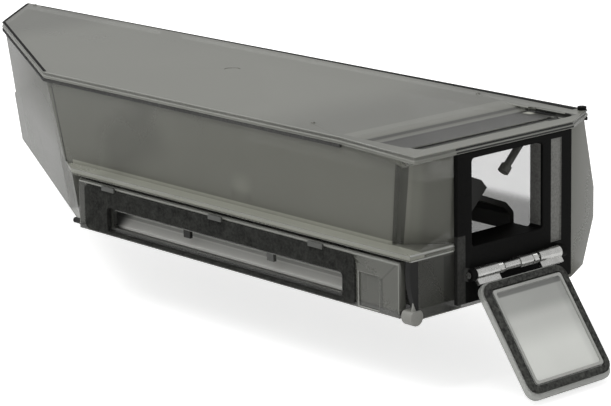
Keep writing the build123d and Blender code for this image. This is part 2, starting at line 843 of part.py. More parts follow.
parts = {
    "housing": housing(),
    "top_cover": top_cover(),
    "cover_seal": cover_seal(),
    "corner_pin": corner_pin(),
    "edge_strip": edge_strip(0.0),
    "inlet_panel": inlet_panel(),
    "inlet_felt": felt(),
    "panel_seal": panel_seal(),
    "panel_pin_left": pivot_pin(-1),
    "panel_pin_right": pivot_pin(1),
    "pivot_lug": pivot_lug(),
    "inlet_hood": inlet_hood(),
    "hood_cheek": hood_cheek(),
    "sill_ramp": sill_ramp(),
    "end_frame": end_frame(),
    "hinge_pin": rod(hinge_x, hinge_z, ears[0][0], ears[1][1], pin_radius),
    "hinge_knuckle": hinge_knuckle(),
    "hinge_spacer": tube(
        hinge_x, hinge_z, spacer_front_y, knuckle_front_y - spring_gap, spacer_radius,
        pin_radius + pin_clearance,
    ),
    "hinge_sleeve_front": swung(hinge_sleeve(sleeve_front_y)),
    "hinge_sleeve_back": swung(hinge_sleeve(sleeve_back_y)),
    "torsion_spring_front": torsion_spring(spring_front_y),
    "torsion_spring_back": torsion_spring(spring_back_y),
    "door_plate": swung(door_plate()),
    "door_gasket": swung(door_gasket()),
    "door_pane": swung(door_pane()),
    "filter_frame": filter_frame(),
    "filter_seal": filter_seal(),
    "filter_media": filter_media(),
}
for number, x in enumerate(clip_positions, 1):
    parts[f"felt_clip_{number}"] = felt_clip(x)
for number, x in enumerate(hook_positions, 1):
    parts[f"slot_hook_{number}"] = slot_hook(x)

os.makedirs("parts", exist_ok=True)
for name, solid in parts.items():
    export_step(solid, f"parts/{name}.step")
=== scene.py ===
import json
import math
from collections import namedtuple

import bmesh
import bpy
from mathutils import Matrix, Vector
from mathutils.geometry import intersect_point_line


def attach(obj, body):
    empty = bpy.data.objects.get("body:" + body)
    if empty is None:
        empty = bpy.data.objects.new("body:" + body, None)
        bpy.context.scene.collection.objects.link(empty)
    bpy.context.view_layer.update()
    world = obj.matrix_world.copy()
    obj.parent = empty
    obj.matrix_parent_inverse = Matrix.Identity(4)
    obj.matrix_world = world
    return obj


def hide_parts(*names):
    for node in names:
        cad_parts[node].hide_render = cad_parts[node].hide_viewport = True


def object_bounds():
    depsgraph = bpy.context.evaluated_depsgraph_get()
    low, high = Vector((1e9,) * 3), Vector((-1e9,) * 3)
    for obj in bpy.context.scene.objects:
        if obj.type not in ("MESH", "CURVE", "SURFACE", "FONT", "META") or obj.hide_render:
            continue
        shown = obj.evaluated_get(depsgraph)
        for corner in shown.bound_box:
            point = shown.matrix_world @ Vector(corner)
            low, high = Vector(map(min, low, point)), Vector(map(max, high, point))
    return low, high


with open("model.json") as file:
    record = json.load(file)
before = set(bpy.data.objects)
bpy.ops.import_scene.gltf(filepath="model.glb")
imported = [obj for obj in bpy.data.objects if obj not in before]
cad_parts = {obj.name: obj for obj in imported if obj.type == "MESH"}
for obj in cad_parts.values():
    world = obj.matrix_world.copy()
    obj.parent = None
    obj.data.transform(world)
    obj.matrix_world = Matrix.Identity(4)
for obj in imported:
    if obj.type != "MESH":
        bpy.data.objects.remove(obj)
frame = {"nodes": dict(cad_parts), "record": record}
cad_low, cad_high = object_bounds()
nodes = frame["nodes"]
MM = 0.001


# The hopper: one deep shell of smoked translucent polycarbonate, injection moulded, with
# drafted walls and a fine satin skin. Its outside edges carry a small moulding radius.
# Painted shade darkens it over the double walls by the door, at its corners and ends and
# where the parts inside show through, and painted light lifts its ledge and thin places.

def group_socket(tree, name, kind, out=False, value=None):
    """Adds a named input or output to a node group."""
    side = "OUTPUT" if out else "INPUT"
    socket = tree.interface.new_socket(name=name, in_out=side, socket_type=kind)
    if value is not None:
        socket.default_value = value
    return socket


def moulded_haze_group():
    """Cloudy flow and fine grain of a moulded surface: a shade from 0 to 1 and a grain height."""
    tree = bpy.data.node_groups.new("moulded_haze", "ShaderNodeTree")
    group_socket(tree, "Vector", "NodeSocketVector")
    group_socket(tree, "Cloud Scale", "NodeSocketFloat", value=30.0)
    group_socket(tree, "Grain Scale", "NodeSocketFloat", value=2500.0)
    group_socket(tree, "Grain Share", "NodeSocketFloat", value=0.3)
    group_socket(tree, "Shade", "NodeSocketFloat", out=True)
    group_socket(tree, "Grain", "NodeSocketFloat", out=True)
    n, l = tree.nodes, tree.links
    start, end = n.new("NodeGroupInput"), n.new("NodeGroupOutput")
    cloud, grain = n.new("ShaderNodeTexNoise"), n.new("ShaderNodeTexNoise")
    mix = n.new("ShaderNodeMix")
    cloud.inputs["Detail"].default_value = 3.0
    grain.inputs["Detail"].default_value = 2.0
    for texture, scale in ((cloud, "Cloud Scale"), (grain, "Grain Scale")):
        l.new(start.outputs["Vector"], texture.inputs["Vector"])
        l.new(start.outputs[scale], texture.inputs["Scale"])
    l.new(start.outputs["Grain Share"], mix.inputs["Factor"])
    l.new(cloud.outputs["Fac"], mix.inputs["A"])
    l.new(grain.outputs["Fac"], mix.inputs["B"])
    l.new(mix.outputs["Result"], end.inputs["Shade"])
    l.new(grain.outputs["Fac"], end.inputs["Grain"])
    return tree


def placed_mask_group():
    """A mask that is 1 inside a box turned about Y, and fades out over a soft border."""
    tree = bpy.data.node_groups.new("placed_mask", "ShaderNodeTree")
    group_socket(tree, "Vector", "NodeSocketVector")
    group_socket(tree, "Centre", "NodeSocketVector")
    group_socket(tree, "Half Size", "NodeSocketVector")
    group_socket(tree, "Turn", "NodeSocketFloat")
    group_socket(tree, "Border", "NodeSocketFloat", value=0.001)
    group_socket(tree, "Mask", "NodeSocketFloat", out=True)
    n, l = tree.nodes, tree.links
    start, end = n.new("NodeGroupInput"), n.new("NodeGroupOutput")
    apart, size, beyond = (n.new("ShaderNodeVectorMath") for _ in range(3))
    turn, axes = n.new("ShaderNodeVectorRotate"), n.new("ShaderNodeSeparateXYZ")
    apart.operation = beyond.operation = "SUBTRACT"
    size.operation = "ABSOLUTE"
    turn.rotation_type = "Y_AXIS"
    l.new(start.outputs["Vector"], apart.inputs[0])
    l.new(start.outputs["Centre"], apart.inputs[1])
    l.new(apart.outputs[0], turn.inputs["Vector"])
    l.new(start.outputs["Turn"], turn.inputs["Angle"])
    l.new(turn.outputs[0], size.inputs[0])
    l.new(size.outputs[0], beyond.inputs[0])
    l.new(start.outputs["Half Size"], beyond.inputs[1])
    l.new(beyond.outputs[0], axes.inputs[0])
    product = None
    for axis in "XYZ":
        fade = n.new("ShaderNodeMapRange")
        fade.interpolation_type = "SMOOTHSTEP"
        fade.inputs["To Min"].default_value, fade.inputs["To Max"].default_value = 1.0, 0.0
        l.new(axes.outputs[axis], fade.inputs["Value"])
        l.new(start.outputs["Border"], fade.inputs["From Max"])
        if product is None:
            product = fade.outputs["Result"]
            continue
        both = n.new("ShaderNodeMath")
        both.operation = "MULTIPLY"
        l.new(product, both.inputs[0])
        l.new(fade.outputs["Result"], both.inputs[1])
        product = both.outputs[0]
    l.new(product, end.inputs["Mask"])
    return tree


haze = moulded_haze_group()
placed = placed_mask_group()

# A place that is darker or lighter than the rest: its centre and half size in millimetres,
# its turn about Y in degrees, the width of its soft border, the gain, and the alpha it adds.
Place = namedtuple("Place", "centre half gain border turn veil", defaults=(1.0, 0.0, 0.0))


def multiply_add(material, value, factor, addend):
    """A Math node that gives value times factor plus addend, each a number or a socket."""
    node = material.node_tree.nodes.new("ShaderNodeMath")
    node.operation = "MULTIPLY_ADD"
    for socket, given in zip(node.inputs, (value, factor, addend)):
        if isinstance(given, (int, float)):
            socket.default_value = given
        else:
            material.node_tree.links.new(given, socket)
    return node.outputs[0]


def finish_material(name, dark, light, roughness, bump=0.1, depth=0.00002, cloud=30.0,
                    grain=2500.0, share=0.3, alpha=1.0, metallic=0.0, ior=1.5, specular=0.5,
                    spread=(0.3, 0.7), places=()):
    """A Principled finish whose colour and gloss drift with the moulded haze, place by place."""
    material = bpy.data.materials.new(name)
    material.use_nodes = True
    n, l = material.node_tree.nodes, material.node_tree.links
    shader = n["Principled BSDF"]
    shader.inputs["Alpha"].default_value = alpha
    shader.inputs["Metallic"].default_value = metallic
    shader.inputs["IOR"].default_value = ior
    shader.inputs["Specular IOR Level"].default_value = specular
    where, skin = n.new("ShaderNodeTexCoord"), n.new("ShaderNodeGroup")
    skin.node_tree = haze
    skin.inputs["Cloud Scale"].default_value = cloud
    skin.inputs["Grain Scale"].default_value = grain
    skin.inputs["Grain Share"].default_value = share
    ramp, gloss = n.new("ShaderNodeValToRGB"), n.new("ShaderNodeMapRange")
    lift = n.new("ShaderNodeBump")
    ramp.color_ramp.elements[0].position, ramp.color_ramp.elements[1].position = spread
    ramp.color_ramp.elements[0].color = (*dark, 1)
    ramp.color_ramp.elements[1].color = (*light, 1)
    gloss.inputs["To Min"].default_value, gloss.inputs["To Max"].default_value = roughness
    lift.inputs["Strength"].default_value = bump
    lift.inputs["Distance"].default_value = depth
    l.new(where.outputs["Object"], skin.inputs["Vector"])
    l.new(skin.outputs["Shade"], ramp.inputs["Fac"])
    l.new(skin.outputs["Shade"], gloss.inputs["Value"])
    l.new(skin.outputs["Grain"], lift.inputs["Height"])
    l.new(gloss.outputs["Result"], shader.inputs["Roughness"])
    l.new(lift.outputs["Normal"], shader.inputs["Normal"])
    if not places:
        l.new(ramp.outputs["Color"], shader.inputs["Base Color"])
        return material
    tone, body = 1.0, alpha
    for place in places:
        mask = n.new("ShaderNodeGroup")
        mask.node_tree = placed
        mask.inputs["Centre"].default_value = Vector(place.centre) * MM
        mask.inputs["Half Size"].default_value = Vector(place.half) * MM
        mask.inputs["Border"].default_value = place.border * MM
        mask.inputs["Turn"].default_value = math.radians(place.turn)
        l.new(where.outputs["Object"], mask.inputs["Vector"])
        gain = multiply_add(material, mask.outputs["Mask"], place.gain - 1, 1.0)
        tone = multiply_add(material, tone, gain, 0.0)
        if place.veil:
            body = multiply_add(material, mask.outputs["Mask"], place.veil, body)
    tint = n.new("ShaderNodeVectorMath")
    tint.operation = "SCALE"
    l.new(ramp.outputs["Color"], tint.inputs[0])
    l.new(tone, tint.inputs["Scale"])
    l.new(tint.outputs[0], shader.inputs["Base Color"])
    if body is not alpha:
        l.new(body, shader.inputs["Alpha"])
    return material


def dress(node, material):
    """Gives a CAD node one finish."""
    nodes[node].data.materials.clear()
    nodes[node].data.materials.append(material)


def body_of_node(node):
    """The moving body that a CAD node belongs to."""
    for body, members in frame["record"]["behaviour"]["bodies"].items():
        if node in members:
            return body


def applied(mesh, add_modifier):
    """A plain mesh with one modifier's result in it."""
    holder = bpy.data.objects.new("holder", mesh)
    bpy.context.scene.collection.objects.link(holder)
    add_modifier(holder)
    graph = bpy.context.evaluated_depsgraph_get()
    done = bpy.data.meshes.new_from_object(holder.evaluated_get(graph))
    bpy.data.objects.remove(holder)
    return done


def add_weights(holder):
    """Weighted normals, so that large flat faces stay flat beside their rounded edges."""
    weights = holder.modifiers.new("weights", "WEIGHTED_NORMAL")
    weights.weight = 100
    weights.keep_sharp = True


def add_piece(name, mesh, body, slot, *replaced):
    """A finished mesh as a piece of its own, riding on a body."""
    piece = bpy.data.objects.new(name, mesh)
    bpy.context.scene.collection.objects.link(piece)
    if replaced:
        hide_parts(*replaced)
    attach(piece, body)
    return piece


# Before rounding, corners this close are welded (metres), and faces this flat joined (radians).
weld_distance, flat_angle = 2e-6, 0.012


def rounded_edges(mesh, materials, radius, least=3.0, sharp=25.0, crease=32.0, change=None):
    """A closed mesh with its outside edges rounded, as a moulded piece has them: those over
    least millimetres long that turn by more than sharp degrees. The rounded edges take the
    second material where there are two."""
    mesh.materials.clear()
    for material in materials:
        mesh.materials.append(material)
    bm = bmesh.new()
    bm.from_mesh(mesh)
    bmesh.ops.remove_doubles(bm, verts=bm.verts, dist=weld_distance)
    bmesh.ops.dissolve_limit(bm, angle_limit=flat_angle, verts=bm.verts, edges=bm.edges)
    for face in bm.faces:
        face.material_index = 0
    if change:
        change(bm)
    bmesh.ops.recalc_face_normals(bm, faces=bm.faces)
    limit = math.radians(sharp)
    edges = [
        e for e in bm.edges
        if e.is_manifold and e.is_convex and e.calc_length() > least * MM
        and e.calc_face_angle(0.0) > limit
    ]
    bmesh.ops.bevel(
        bm, geom=edges, offset=radius * MM, offset_type="OFFSET", segments=2, profile=0.5,
        affect="EDGES", clamp_overlap=False, loop_slide=True, material=len(materials) - 1,
    )
    bmesh.ops.triangulate(bm, faces=[f for f in bm.faces if len(f.verts) > 4])
    bmesh.ops.recalc_face_normals(bm, faces=bm.faces)
    bm.to_mesh(mesh)
    bm.free()
    mesh.shade_smooth()
    mesh.set_sharp_from_angle(angle=math.radians(crease))
    return applied(mesh, add_weights)


def softened(node, name, slot, materials, radius, mesh=None, **options):
    """A piece that stands for a CAD node: the node's own mesh or a changed one, edges rounded."""
    mesh = mesh or nodes[node].data.copy()
    mesh = rounded_edges(mesh, materials, radius, **options)
    return add_piece(name, mesh, body_of_node(node), slot, node)


def new_mesh(name, bm):
    """A plain mesh from a finished bmesh."""
    bmesh.ops.recalc_face_normals(bm, faces=bm.faces)
    mesh = bpy.data.meshes.new(name)
    bm.to_mesh(mesh)
    bm.free()
    return mesh


def prism(name, outline, low, high, axis=0, hole=None):
    """A closed solid: an outline (and a hole in it) in the two other axes, drawn from low to
    high along one axis, all in millimetres."""
    def corner(point, level):
        place = list(point)
        place.insert(axis, level)
        return Vector(place) * MM
    bm = bmesh.new()
    rings = []
    for line in (outline, hole) if hole else (outline,):
        rings.append([[bm.verts.new(corner(p, level)) for p in line] for level in (low, high)])
    for bottom, top in rings:
        for i in range(len(bottom)):
            j = (i + 1) % len(bottom)
            bm.faces.new((bottom[i], bottom[j], top[j], top[i]))
    for level in (0, 1):
        if hole is None:
            bm.faces.new(rings[0][level])
            continue
        outer, inner = rings[0][level], rings[1][level]
        for i in range(len(outer)):
            j = (i + 1) % len(outer)
            bm.faces.new((outer[i], outer[j], inner[j], inner[i]))
    return new_mesh(name, bm)


def rounded_box(low_a, high_a, low_b, high_b, radius, steps=6):
    """A rectangle with round corners, as points in order."""
    points = []
    corners = ((high_a, high_b), (low_a, high_b), (low_a, low_b), (high_a, low_b))
    for quarter, (a, b) in enumerate(corners):
        centre_a = a - math.copysign(radius, a - (low_a + high_a) / 2)
        centre_b = b - math.copysign(radius, b - (low_b + high_b) / 2)
        for i in range(steps + 1):
            angle = math.radians(90.0 * quarter + 90.0 * i / steps)
            point = centre_a + radius * math.cos(angle), centre_b + radius * math.sin(angle)
            points.append(point)
    return points


smoked = finish_material(
    "smoked_polycarbonate", (0.158, 0.16, 0.137), (0.188, 0.19, 0.163), (0.22, 0.32),
    bump=0.06, cloud=14.0, share=0.1, alpha=0.62, ior=1.58, specular=0.2,
    places=(
        # painted shade on the denser double wall below the ledge's corner, along its front edge
        # and beside the frame
        Place((122.5, -28.0, 7.0), (5.0, 10.0, 8.0), 0.3, 0.4, veil=0.25),
        Place((124.0, -34.3, 8.0), (2.2, 1.6, 7.4), 0.08, 0.1, veil=0.3),
        Place((125.6, -22.0, 7.0), (1.0, 1.6, 7.5), 0.55, 0.4),
        # painted shade on the web behind the upper corner, and a painted highlight beside it
        Place((116.7, -31.3, 27.5), (1.15, 2.4, 10.2), 0.42, 0.15, turn=-4.8),
        Place((119.0, -29.4, 28.0), (0.6, 2.4, 9.0), 1.3, 2.6, turn=-4.8),
        # the right end, left end, front and corner facet made denser and darker with painted
        # shade, and the thin part of the back wall made clearer and lighter with painted light
        Place((124.0, 38.0, 20.0), (16.0, 15.5, 24.0), 0.9, 1.5, veil=0.33),
        Place((-86.0, 5.0, 20.0), (57.0, 45.0, 25.0), 0.75, 1.0, veil=0.3),
        Place((45.0, -32.0, 29.0), (75.0, 3.4, 11.0), 0.95, 1.0, veil=0.16),
        Place((123.0, -25.0, 29.0), (5.0, 8.0, 11.0), 0.95, 1.0, veil=0.12),
        Place((80.0, 36.0, 25.0), (26.0, 8.0, 12.0), 1.3, 3.0, veil=-0.28),
        # a painted shade line along the front left edge, a painted shade patch where the inside
        # shows through, and a painted light line over painted shade on the front
        Place((-22.3, -32.0, 28.8), (13.0, 5.0, 0.22), 0.35, 0.15, turn=-74.5),
        Place((11.0, -32.0, 28.0), (8.0, 4.0, 3.0), 0.8, 9.0, turn=28.0),
        Place((57.5, -31.5, 22.0), (0.5, 4.0, 0.3), 1.3, 5.0),
        Place((57.5, -31.5, 20.0), (3.0, 4.0, 0.1), 0.82, 2.2),
        # the light on the ledge
        Place((60.0, -33.6, 17.0), (76.0, 2.6, 0.9), 1.8, 0.3, veil=0.2),
    ),
)
# A lighter copy of the smoked finish for the rounded edges: a painted highlight along them.
smoked_edge_highlight = finish_material(
    "smoked_edge_painted_highlight", (0.29, 0.294, 0.266), (0.35, 0.354, 0.325), (0.16, 0.24),
    bump=0.04, cloud=60.0, alpha=0.8, ior=1.58,
)
housing_round = 0.35
softened(
    "housing", "hopper_shell", "smoked_housing", (smoked, smoked_edge_highlight), housing_round,
    sharp=50.0, crease=20.0,
)


# The ledge's corner, moulded with the hopper in the same smoked plastic: a solid cap closes
# it over the corner, and a fine double lip with polished edges runs along its right end,
# coloured pale as a painted highlight.

ledge_corner = [(114.5, -30.6), (124.2, -30.6), (124.2, -21.0), (122.0, -21.0)]
ledge_foot, ledge_crown, cap_round = 15.5, 17.03, 0.1
cap = prism("ledge_corner_cap", ledge_corner, ledge_foot, ledge_crown, axis=2)
cap = rounded_edges(cap, (smoked,), cap_round)
add_piece("ledge_corner_cap", cap, "bin", "smoked_housing")

# The lips' pale colour is a painted highlight, along the ledge's end and round the door pane.
lip_highlight_skin = finish_material(
    "pale_lip_painted_highlight", (0.34, 0.345, 0.325), (0.46, 0.465, 0.44), (0.15, 0.22),
    bump=0.04, cloud=80.0,
)
lip_line = rounded_box(125.4, 126.05, -35.4, -20.6, 0.3)
lip_round = 0.15
for name, low, high in (("ledge_lip_upper", 16.75, 17.2), ("ledge_lip_lower", 15.4, 15.8)):
    bead = prism(name, lip_line, low, high, axis=2)
    bead = rounded_edges(bead, (lip_highlight_skin,), lip_round, least=0.01, sharp=60.0)
    add_piece(name, bead, "bin", "smoked_housing")


# The guides behind the inlet: a curved hood, an upright cheek and a pale stepped ramp,
# clipped inside the hopper, where they show through the window, the slot and the walls.

dark_plastic = finish_material(
    "dark_guide_plastic", (0.012, 0.012, 0.011), (0.022, 0.022, 0.02), (0.3, 0.45), bump=0.1,
    specular=0.25,
)
pale_plastic = finish_material(
    "pale_moulded_plastic", (0.22, 0.22, 0.2), (0.28, 0.28, 0.26), (0.3, 0.45),
    bump=0.1, cloud=60.0,
)
ramp_plastic = finish_material(
    "pale_ramp_plastic", (0.84, 0.84, 0.79), (0.92, 0.92, 0.87), (0.3, 0.45), bump=0.1, cloud=40.0,
    places=(
        # painted shade at the left end of the slot and on the two steps of the ramp
        Place((-4.0, -28.0, 4.0), (8.0, 8.0, 6.0), 0.2, 6.0),
        Place((55.0, -31.0, 3.0), (65.0, 2.0, 1.2), 0.88, 0.2),
        Place((55.0, -29.6, 4.85), (65.0, 0.3, 0.5), 0.7, 0.1),
    ),
)
dress("inlet_hood", dark_plastic)
dress("hood_cheek", dark_plastic)
ramp_line = [
    (-32.2, 1.6), (-32.2, 2.8), (-27.5, 6.5), (-14.0, 7.6), (-12.0, 7.6), (-12.0, 6.4),
    (-14.0, 6.4), (-26.5, 5.4), (-31.0, 1.6),
]
ramp_left, ramp_right, ramp_round = -3.8, 115.8, 0.2
ramp = prism("stepped_inlet_ramp", ramp_line, ramp_left, ramp_right, axis=0)
softened(
    "sill_ramp", "stepped_inlet_ramp", "guide_plastic", (ramp_plastic,), ramp_round,
    mesh=ramp, least=0.5, sharp=20.0,
)


# The outlet filter: a black frame through the back wall on a soft ring, with paper pleated
# into it by machine. The paper is fibrous and a little warm in colour.

black_plastic = finish_material(
    "black_frame_plastic", (0.003, 0.003, 0.0028), (0.007, 0.007, 0.0066), (0.45, 0.62),
    bump=0.25, grain=1800.0, share=0.5, specular=0.06,
    places=(
        # on the door frame: the smoked strip in its side slot, a painted highlight along the back
        # edge of the window, and the paler face beside the hinge
        Place((127.0, 15.5, 25.0), (0.95, 1.9, 13.5), 40.0, 0.1),
        Place((122.0, 10.5, 27.5), (4.2, 0.12, 11.0), 30.0, 0.1),
        Place((127.0, -18.95, 10.0), (1.5, 1.2, 9.0), 9.0, 0.3),
    ),
)
rubber = finish_material(
    "black_rubber", (0.004, 0.004, 0.004), (0.01, 0.01, 0.0095), (0.6, 0.8),
    bump=0.4, grain=1500.0, share=0.6, specular=0.12,
)
filter_paper = finish_material(
    "filter_paper", (0.42, 0.4, 0.34), (0.6, 0.58, 0.5), (0.8, 0.95),
    bump=0.5, grain=3000.0, share=0.6,
)
dress("filter_frame", black_plastic)
dress("filter_seal", rubber)
dress("filter_media", filter_paper)


# The top cover: a flat plate in the same smoked plastic with a stepped recess by the door
# end and a fine groove round its edge, set on a black cord seal. A black cord lies along the
# slanted left edge, and a tapered black strip is let in along the whole back edge.

cover_rim = [
    (-127.0, 35.0), (-103.5, 8.0), (-27.5, -32.0), (97.0, -32.0), (127.0, -35.0),
    (127.0, 22.0), (120.0, 35.0),
]
groove_top, groove_foot, groove_depth, groove_slope = 41.55, 41.05, 0.3, 0.02
rim_reach, upright_limit = 0.2, 0.2


def cut_rim_groove(bm):
    """Cuts a fine groove round the cover's outer edge."""
    for height in (groove_top, groove_foot):
        bmesh.ops.bisect_plane(
            bm, geom=bm.verts[:] + bm.edges[:] + bm.faces[:], dist=1e-7,
            plane_co=(0, 0, height * MM), plane_no=(0, 0, 1),
        )
    rim = [Vector((x, y, 0)) * MM for x, y in cover_rim]
    band = []
    for face in bm.faces:
        middle = face.calc_center_median()
        in_groove = groove_foot * MM < middle.z < groove_top * MM
        if abs(face.normal.z) > upright_limit or not in_groove:
            continue
        flat = Vector((middle.x, middle.y, 0))
        for a, b in zip(rim, rim[1:] + rim[:1]):
            foot, share = intersect_point_line(flat, a, b)
            if 0 <= share <= 1 and (flat - foot).length < rim_reach * MM:
                band.append(face)
                break
    bmesh.ops.inset_region(
        bm, faces=band, thickness=groove_slope * MM, depth=-groove_depth * MM,
        use_boundary=True, use_even_offset=True,
    )


def cut_away(mesh, *blocks):
    """The mesh less one or more closed blocks."""
    for block in blocks:
        tool = bpy.data.objects.new("block", block)
        bpy.context.scene.collection.objects.link(tool)

        def add_cut(holder):
            cut = holder.modifiers.new("cut", "BOOLEAN")
            cut.operation, cut.solver, cut.object = "DIFFERENCE", "EXACT", tool
        mesh = applied(mesh, add_cut)
        bpy.data.objects.remove(tool)
    return mesh


smoked_top = finish_material(
    "smoked_cover_skin", (0.19, 0.192, 0.169), (0.222, 0.224, 0.198), (0.24, 0.34),
    bump=0.06, cloud=12.0, share=0.1, alpha=0.86, ior=1.58, specular=0.25,
    places=(
        # painted shade on the recess's two floors, its left wall and its back wall, and a painted
        # highlight at its back left corner
        Place((110.8, -0.5, 40.6), (4.6, 29.0, 0.7), 0.26, 0.2),
        Place((119.0, -0.5, 39.9), (3.7, 27.4, 0.6), 0.2, 0.2, veil=0.1),
        Place((106.2, -1.5, 41.2), (0.5, 28.0, 0.6), 0.35, 0.2),
        Place((108.2, 25.2, 41.0), (0.6, 0.3, 0.5), 12.0, 1.4),
        Place((115.5, 27.2, 41.2), (7.0, 0.8, 0.75), 0.15, 0.15),
        # a painted light band and a painted shade line on the slope beside it
        Place((99.0, -1.0, 41.6), (3.2, 28.4, 0.7), 1.3, 0.2),
        Place((103.2, -1.5, 41.3), (0.6, 28.0, 0.6), 0.45, 0.2),
        # painted shade in the groove in the rim, the black edge over the door frame, and the stay
        # below made darker
        Place((0.0, 0.0, 41.3), (130.0, 40.0, 0.2), 0.85, 0.05),
        Place((127.2, 0.8, 40.8), (0.8, 21.3, 0.9), 0.05, 0.1, veil=0.14),
        Place((60.0, 0.0, 34.0), (90.0, 60.0, 4.5), 0.4, 0.3),
        # painted shade toward the left and right ends
        Place((-108.0, 15.0, 42.0), (15.0, 30.0, 2.0), 0.76, 25.0),
        Place((92.0, 0.0, 42.0), (8.0, 40.0, 2.0), 0.74, 30.0),
    ),
)
recess_line = rounded_box(106.0, 122.7, -28.6, 27.5, 2.6)
channel_line = rounded_box(115.2, 122.7, -27.8, 26.7, 2.0)
recess_floor, channel_floor, over_cover, cover_round = 40.8, 40.25, 43.0, 0.3
recessed = cut_away(
    nodes["top_cover"].data.copy(),
    prism("recess", recess_line, recess_floor, over_cover, axis=2),
    prism("channel", channel_line, channel_floor, over_cover, axis=2),
)
softened(
    "top_cover", "cover_plate", "smoked_cover", (smoked_top, smoked_edge_highlight), cover_round,
    mesh=recessed, least=1.5, change=cut_rim_groove,
)
seal_rubber = finish_material(
    "cover_cord_rubber", (0.004, 0.004, 0.004), (0.01, 0.01, 0.0095), (0.5, 0.7),
    bump=0.4, grain=1500.0, share=0.6, specular=0.12,
    # paler along the front, where it is seen through the cover's edge: painted light over the
    # shadow that the cover casts on it
    places=(Place((50.0, -33.0, 39.6), (77.0, 4.5, 1.0), 9.0, 1.0),),
)
dress("cover_seal", seal_rubber)
dress("corner_pin", black_plastic)


def offset_line(points, inset):
    """A line moved to the right of its run by inset, with mitred corners."""
    moved = []
    for i, point in enumerate(points):
        before, after = points[max(i - 1, 0)], points[min(i + 1, len(points) - 1)]
        a = (point - before).normalized() if i > 0 else (after - point).normalized()
        b = (after - point).normalized() if i < len(points) - 1 else a
        side = (Vector((-a.y, a.x)) + Vector((-b.y, b.x))).normalized()
        moved.append(point + side * inset / max(side.dot(Vector((-a.y, a.x))), 0.3))
    return moved


def laid_strip(name, outer, inner, low, high, slot, material, crown, *replaced):
    """A strip between two lines, with a low crown along it, laid on the cover."""
    bm = bmesh.new()
    rings = []
    section = [
        (0.0, low), (0.0, high), (0.25, high + crown), (0.75, high + crown), (1.0, high),
        (1.0, low),
    ]
    for a, b in zip(outer, inner):
        rings.append([
            bm.verts.new((*((a + (b - a) * share) * MM), z * MM)) for share, z in section
        ])
    for ring, following in zip(rings, rings[1:]):
        for i in range(len(ring)):
            j = (i + 1) % len(ring)
            bm.faces.new((ring[i], ring[j], following[j], following[i]))
    bm.faces.new(rings[0])
    bm.faces.new(rings[-1])
    mesh = new_mesh(name, bm)
    mesh.materials.append(material)
    mesh.shade_smooth()
    mesh.set_sharp_from_angle(angle=math.radians(50))
    return add_piece(name, mesh, "bin", slot, *replaced)


left_edge = [Vector(p) for p in ((-125.6, 33.4), cover_rim[1], cover_rim[2])]
cord_outer, cord_inner = offset_line(left_edge, 0.1), offset_line(left_edge, 0.95)
cord_foot, cord_top, cord_crown = 41.7, 42.04, 0.06
laid_strip("left_edge_cord", cord_outer, cord_inner, cord_foot, cord_top, "black_rubber", rubber,
           cord_crown)
strip_left, strip_run, strip_stations = -118.0, 235.0, 12
strip_back, strip_thin, strip_spread, strip_taper = 34.55, 0.6, 1.6, 1.5
strip_foot, strip_top, strip_crown = 41.4, 42.02, 0.05
strip_outer, strip_inner = [], []
for i in range(strip_stations + 1):
    x = strip_left + strip_run * i / strip_stations
    strip_outer.append(Vector((x, strip_back)))
    width = strip_spread * (i / strip_stations) ** strip_taper
    strip_inner.append(Vector((x, strip_back - strip_thin - width)))
laid_strip("back_edge_strip", strip_outer, strip_inner, strip_foot, strip_top, "black_rubber",
           rubber, strip_crown, "edge_strip")


# The inlet panel: a smoked strip that swings down on two steel pins, with a dark felt frame
# pressed into it round the slot. Small clips and pegs hold the felt.

smoked_panel = finish_material(
    "smoked_panel_skin", (0.118, 0.12, 0.104), (0.148, 0.15, 0.131), (0.22, 0.32),
    bump=0.06, cloud=20.0, share=0.1, alpha=0.78, ior=1.58,
    places=(
        # the left end, the foot and the edge of the slot
        Place((-6.9, -34.5, 7.0), (1.7, 3.0, 8.0), 0.55, 0.5),
        Place((50.0, -34.5, 0.6), (75.0, 3.0, 1.2), 0.5, 0.5),
        Place((53.0, -34.5, 5.0), (51.0, 3.0, 3.9), 0.3, 0.2),
        # the lines and the field of the relief at the right end
        Place((111.8, -34.5, 9.2), (3.9, 3.0, 0.16), 0.7, 0.15),
        Place((115.5, -34.5, 5.5), (0.25, 3.0, 3.8), 0.6, 0.15),
        Place((118.3, -34.5, 11.75), (3.6, 3.0, 0.16), 0.75, 0.15, turn=42.0),
        Place((111.5, -34.5, 5.2), (3.8, 3.0, 3.8), 0.92, 0.3),
    ),
)
panel_round, felt_round = 0.22, 0.3
softened(
    "inlet_panel", "front_panel", "smoked_housing", (smoked_panel, smoked_edge_highlight), panel_round,
)
felt_skin = finish_material(
    "dark_felt", (0.008, 0.008, 0.0075), (0.044, 0.045, 0.041), (0.85, 0.98),
    bump=0.7, depth=0.0002, cloud=400.0, grain=1400.0, share=0.5, specular=0.1,
)
softened("inlet_felt", "felt_frame", "felt", (felt_skin,), felt_round, least=0.8)


def output_tree(name):
    """A Geometry Nodes tree with its mesh input and output, ready for its named inputs."""
    tree = bpy.data.node_groups.new(name, "GeometryNodeTree")
    group_socket(tree, "Geometry", "NodeSocketGeometry")
    group_socket(tree, "Geometry", "NodeSocketGeometry", out=True)
    return tree


def grown(mesh, tree, values):
    """The plain mesh that a Geometry Nodes tree makes from a mesh and its input values."""
    def add_tree(holder):
        modifier = holder.modifiers.new(tree.name, "NODES")
        modifier.node_group = tree
        for socket in tree.interface.items_tree:
            if socket.in_out == "INPUT" and socket.name in values:
                modifier[socket.identifier] = values[socket.name]
    return applied(mesh, add_tree)


